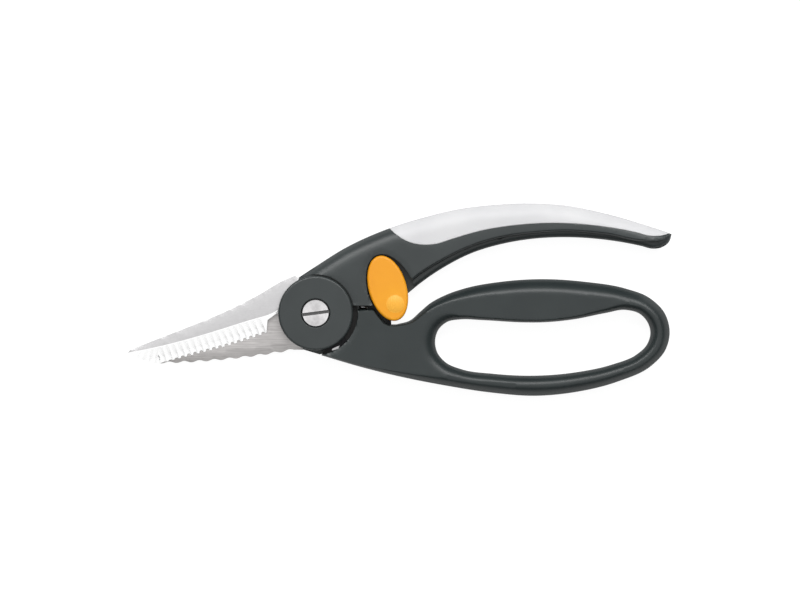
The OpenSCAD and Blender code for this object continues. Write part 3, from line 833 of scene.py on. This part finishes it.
# The notches' flutes end here, short of the heel
FLUTES_END_X = -22.3
GRIND_LINE = [[-87.5, -18.4], [-81.4, -17.3], [-63.8, -13.3], [-53.4, -10.4], [-41.6, -6.8], [-32.8, -4],
              [-27, -2.3], [-22.5, -1], [-19.6, 0.2], [-15.5, 2.8]]
REAR_CUTTING = [[-80.5, -20], [-60, -14.2], [-24, -3.5]]
REAR_TANG = [[-3, 10], [-1, 16], [12, 23.4], [30, 29.8], [42, 30], [56, 30.2], [62, 32.4], [76, 36.9],
             [88, 38.6], [88, 36], [72, 31.8], [58, 25.8], [45, 25.2], [33, 26.4], [25, 23], [19, 14],
             [14, 8.5], [6, 4]]
BLADE_T = 2.5
TOOTH_PITCH = 2.97
NOTCH_DEPTH = 1.08
# Half of a notch's width, as a share of the pitch
NOTCH_HALF = 0.29
FLUTE_DEPTH = 0.3
EDGE_LEFT = 0.25
GRIND_SLOPE = 0.28


def along(line):
    """Distance covered along a line at each of its points."""
    return np.concatenate([[0], np.cumsum(np.linalg.norm(np.diff(line, axis=0), axis=1))])


def tooth_phase(run):
    """Place within a tooth's pitch, from about -0.5 to 0.5 with 0 at the middle of a notch."""
    return (run / TOOTH_PITCH + 0.05) % 1 - 0.55


def toothed_edge(base):
    """Cutting edge along base, with a row of rounded notches between its teeth."""
    run = along(base)
    s = np.arange(0, run[-1], TOOTH_PITCH / 28)
    p = np.c_[np.interp(s, run, base[:, 0]), np.interp(s, run, base[:, 1])]
    way = np.gradient(p, axis=0)
    way /= np.linalg.norm(way, axis=1)[:, None]
    fade = np.clip((run[-1] - s) / 14, 0.0, 1)
    depth = NOTCH_DEPTH * fade * rise(np.maximum(NOTCH_HALF - abs(tooth_phase(s)), 0), NOTCH_HALF, 2.6)
    return p + np.c_[way[:, 1], -way[:, 0]] * depth[:, None]


def make_front_blade():
    base = curve(TOOTH_LINE, 12)
    edge = toothed_edge(base)
    grind = curve(GRIND_LINE, 8)
    spine = curve(SPINE, 16)
    tip = curve(TIP_EDGE, 6)
    outline = np.vstack([spine[::-1], HEEL_EDGE, edge, tip])
    tip_line = np.vstack([base, tip])
    ground_area = np.vstack([grind, [[0, -40], [-100, -40]]])
    run = along(tip_line)

    def within(p):
        return inside(outline, p) | (radius(p) < BLADE_HUB_R) | in_front_tang(p)

    def ground(p):
        bevel = inside(ground_area, p) & inside(outline, p)
        return bevel & (p[:, 0] < -14) & (radius(p) > BLADE_HUB_R)

    def ground_top(p):
        top_gap = near(grind, p)[0]
        phase = tooth_phase(near(tip_line, p, run)[1])
        phase = np.where(phase < -0.5, phase + 1, phase)
        hollow = np.maximum(1 - (2 * phase)**2, 0)
        to_tip = np.clip((p[:, 0] + 86) / 14, 0.15, 1)
        strength = to_tip * np.clip(top_gap / 5, 0, 1) * (p[:, 0] < FLUTES_END_X)
        drop = np.minimum(GRIND_SLOPE * top_gap, BLADE_T - EDGE_LEFT)
        return np.maximum(BLADE_TOP_Z - drop - FLUTE_DEPTH * hollow * strength, SEAM_Z + 0.12)

    def face_top(p):
        return softened(BLADE_TOP_Z, near(spine, p)[0], 0.3, 0.35)

    fine = np.array([[x, y] for x in np.arange(-86, -18, 0.42) for y in np.arange(-24, 2, 0.42)])
    fine = fine[inside(ground_area, fine) & inside(outline, fine)]
    for line in (grind, edge, base):
        fine = fine[near(line, fine)[0] > 0.15]
    lines = [shut(outline), grind, circle(BLADE_HUB_R), shut(FRONT_TANG), shut(TANG_GLINT)]
    cells = [(lambda p: radius(p) < BLADE_BORE_R, flat(SEAM_Z), flat(SEAM_Z)),
             (ground, ground_top, flat(SEAM_Z)),
             (within, face_top, flat(SEAM_Z))]
    piece = plan_mesh("toothed_blade", lines, [rim(spine, 0.35, -1)], cells, 3.0, [fine])
    place(piece, "lower_half", "polished_blade", BLADE_FACE, "front_blade")
    points = face_points(piece)
    upward = np.array([face.normal.z for face in piece.data.polygons])
    # Painted shade: the tang beyond the blade's hub is turned near black, all but the TANG_GLINT patch,
    # which stays bare steel
    tang_painted_shade = (radius(points) > BLADE_HUB_R) & (points[:, 0] > 0) & ~inside(TANG_GLINT, points)
    refinish(piece, BLADE_GRIND, ground(points) & (upward > 0.3) & (upward < 0.9995))
    refinish(piece, BLACK_STEEL, tang_painted_shade)


def scalloped_back():
    """Back of the rear blade: nine waves along a shallow bow."""
    v = np.linspace(0, 1, 180)
    wave = 0.4 * (1 - np.cos(2 * math.pi * 9 * v))
    return np.c_[-9 - 62 * v, -16.9 - 11.5 * v + 5.2 * v * v + wave]


def make_rear_blade():
    back = np.vstack([[[-6.2, -16.9]], scalloped_back()])
    outline = np.vstack([back, [[-77, -21.8]], REAR_CUTTING, [[-14, 2], [-2, -4]]])

    def within(p):
        return inside(outline, p) | (radius(p) < BLADE_HUB_R) | inside(REAR_TANG, p)

    def top(p):
        return softened(HUB_BACK_Z + BLADE_T, near(back, p)[0], 0.7, 1.6)

    def bottom(p):
        cutting = near(np.array(REAR_CUTTING), p)[0]
        lift = 2.2 * np.clip(1 - cutting / 8, 0, 1) * np.clip((-22 - p[:, 0]) / 3, 0, 1)
        return HUB_BACK_Z + lift + 0.4 * (1 - rise(near(back, p)[0], 0.6)) * (lift < 1.2)

    cells = [(lambda p: radius(p) < BLADE_BORE_R, flat(HUB_BACK_Z), flat(HUB_BACK_Z)),
             (within, top, bottom)]
    lines = [shut(outline), circle(BLADE_HUB_R), shut(REAR_TANG)]
    piece = plan_mesh("scalloped_blade", lines, [rim(back, 1.6, 1)], cells, 1.6)
    place(piece, "upper_half", "brushed_blade", BLADE_BRUSHED, "rear_blade")


# ---------------------------------------------------------------- pivot, lever and spring

def quarter(centre, size, start, end, count=8):
    """Points round a corner of a profile, from one angle in degrees to another."""
    angles = [math.radians(start + (end - start) * i / count) for i in range(count + 1)]
    return [(centre[0] + size * math.cos(a), centre[1] + size * math.sin(a)) for a in angles]


def make_hub_cover():
    low, shoulder, top = 10.65, 12.55, 15.45
    bore_r, recess_r, recess_round = 4.1, 6.6, 0.4
    profile = [(bore_r, low), (COVER_R - 0.1, low), (COVER_R, low + 0.1)]
    profile += quarter((COVER_R - HUB_ROUND, top - HUB_ROUND), HUB_ROUND, 0, 90)
    profile += quarter((recess_r + recess_round, top - recess_round), recess_round, 90, 180)
    profile += [(recess_r, shoulder), (bore_r, shoulder)]
    place(lathe("pivot_cover", profile), "upper_half", "handle_plastic", HANDLE_DARK, "hub_cover")


def make_lever():
    low, high = 8.3, 15.2
    edge_drop, edge_round, crown_h = 1.1, 1.2, 0.25
    thumb = np.array([36.5, 4.1])
    thumb_r, thumb_h, rib_pitch, rib_depth = 4.1, 0.75, 1.0, 0.075
    edge = oval(0)

    def from_thumb(p):
        return np.hypot(*(p - thumb).T)

    def top(p):
        crown = crown_h * np.clip(1 - np.hypot(*(p - LEVER_CENTRE).T) / LEVER_LONG, 0, 1)
        made = softened(high - crown_h, near(edge, p)[0], edge_drop, edge_round) + crown
        spot = from_thumb(p) / thumb_r
        ribs = rib_depth * np.cos(2 * math.pi * (p[:, 0] - thumb[0]) / rib_pitch)
        dome = (thumb_h + ribs) * np.clip(1 - spot**2, 0, 1)
        return made + np.where(spot < 1, np.maximum(dome, 0), 0)

    grid = np.array([[x, y] for x in np.arange(32, 41, 0.17) for y in np.arange(0, 8.4, 0.5)])
    grid = grid[from_thumb(grid) < thumb_r - 0.1]
    pad = shut([[27.5, 11.5], [32, 11.5], [32, 15.5], [27.5, 15.5]])
    cells = [(lambda p: inside(pad, p), top, flat(8.0)),
             (lambda p: inside(edge, p), top, flat(low))]
    lines = [edge, circle(thumb_r, thumb, 60), pad]
    piece = plan_mesh("thumb_lever", lines, [rim(edge, edge_round, 1)], cells, 1.2, [grid])
    place(piece, "lock_lever", "lever_plastic", LEVER_ORANGE, "lock_lever")
    upward = np.array([face.normal.z for face in piece.data.polygons])
    refinish(piece, LEVER_SPOT, (from_thumb(face_points(piece)) < thumb_r) & (upward > 0.3))


def make_spring():
    turns, around, sides = 8, 40, 12
    coil_r, wire_r, half = 1.9, 0.4, 7.2
    rings = turns * around
    corners = []
    for i in range(rings + 1):
        turned = 2 * math.pi * i / around
        y = SPRING_CENTRE[1] - half + 2 * half * i / rings
        for k in range(sides):
            about = 2 * math.pi * k / sides
            r = coil_r + wire_r * math.cos(about)
            x, z = SPRING_CENTRE[0] + r * math.cos(turned), SEAM_Z + r * math.sin(turned)
            corners.append((x * MM, (y + wire_r * math.sin(about)) * MM, z * MM))
    polygons = [tuple(range(sides - 1, -1, -1)), tuple(rings * sides + k for k in range(sides))]
    for start in range(0, rings * sides, sides):
        for k in range(sides):
            beside = (k + 1) % sides
            polygons.append((start + k, start + beside, start + sides + beside, start + sides + k))
    piece = new_piece("handle_spring", corners, polygons)
    piece.data.materials.append(SMALL_STEEL)
    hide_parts("opening_spring")
    x, z = SPRING_CENTRE[0] * MM, SEAM_Z * MM
    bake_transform(piece)


def finish_cad_nodes():
    """Gives the small CAD pieces that stay their metals."""
    finishes = {"pivot_screw": SCREW_TURNED, "pivot_nut": SMALL_STEEL, "wave_washer": SMALL_STEEL,
                "upper_handle_screws": SMALL_STEEL, "loop_handle_screws": SMALL_STEEL,
                "lever_pin": SMALL_STEEL, "detent_spring": BLACK_STEEL, "lock_hook": BLACK_STEEL,
                "hook_rivets": BLACK_STEEL, "lock_catch": BLACK_STEEL}
    for name, finish in finishes.items():
        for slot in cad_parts[name].material_slots:
            slot.material = finish


# ---------------------------------------------------------------- stage, light and camera

def make_floor():
    made, tree, shader, where = material("floor_white", (0.2, 0.2, 0.2), 0, 0.9)
    tint = between_colours(tree, noise(tree, where, 3), (0.19, 0.19, 0.19), (0.21, 0.21, 0.21))
    tree.links.new(tint, shader.inputs["Base Color"])
    shader.inputs["Specular IOR Level"].default_value = 0.0
    shader.inputs["Emission Color"].default_value = (1, 1, 1, 1)
    shader.inputs["Emission Strength"].default_value = 0.9
    half = 3
    corners = [(x * half, y * half, FLOOR_Z) for x, y in ((-1, -1), (1, -1), (1, 1), (-1, 1))]
    floor = new_piece("floor", corners, [(0, 1, 2, 3)])
    floor.data.materials.append(made)


def add_light(name, spot, aim, size_x, size_y, watts):
    """Rectangular soft light at a spot, turned towards aim, in metres."""
    lamp = bpy.data.lights.new(name, "AREA")
    lamp.shape = "RECTANGLE"
    lamp.size, lamp.size_y, lamp.energy = size_x, size_y, watts
    held = bpy.data.objects.new(name, lamp)
    held.location = spot
    held.rotation_euler = (Vector(aim) - Vector(spot)).to_track_quat("-Z", "Y").to_euler()
    bpy.context.scene.collection.objects.link(held)


def make_lights():
    centre = (0.04, 0.006, 0.01)
    add_light("overhead_soft", (0.04, 0.0, 1.9), centre, 3.8, 3.6, 42)
    add_light("key_far_side", (0.04, 0.95, 1.15), centre, 2.2, 0.6, 27)
    world = bpy.data.worlds.new("studio")
    world.use_nodes = True
    glow = world.node_tree.nodes["Background"]
    glow.inputs["Color"].default_value = (1, 1, 1, 1)
    glow.inputs["Strength"].default_value = 0.12
    bpy.context.scene.world = world


def make_camera():
    lens, sensor = 135, 36
    # In metres, the view's width at the height of the handles' seam
    view_width, seam_height = 0.368, 0.008
    data = bpy.data.cameras.new("camera")
    data.lens, data.sensor_width = lens, sensor
    camera = bpy.data.objects.new("camera", data)
    camera.location = (0.03864, 0.00598, seam_height + view_width * lens / sensor)
    bpy.context.scene.collection.objects.link(camera)
    bpy.context.scene.camera = camera


make_camera()
make_lights()
make_floor()
make_bow_front()
make_bow_back()
make_inlay()
make_loop_front()
make_loop_back()
make_front_blade()
make_rear_blade()
make_hub_cover()
make_lever()
make_spring()
finish_cad_nodes()
bpy.context.scene.view_settings.view_transform = "Standard"
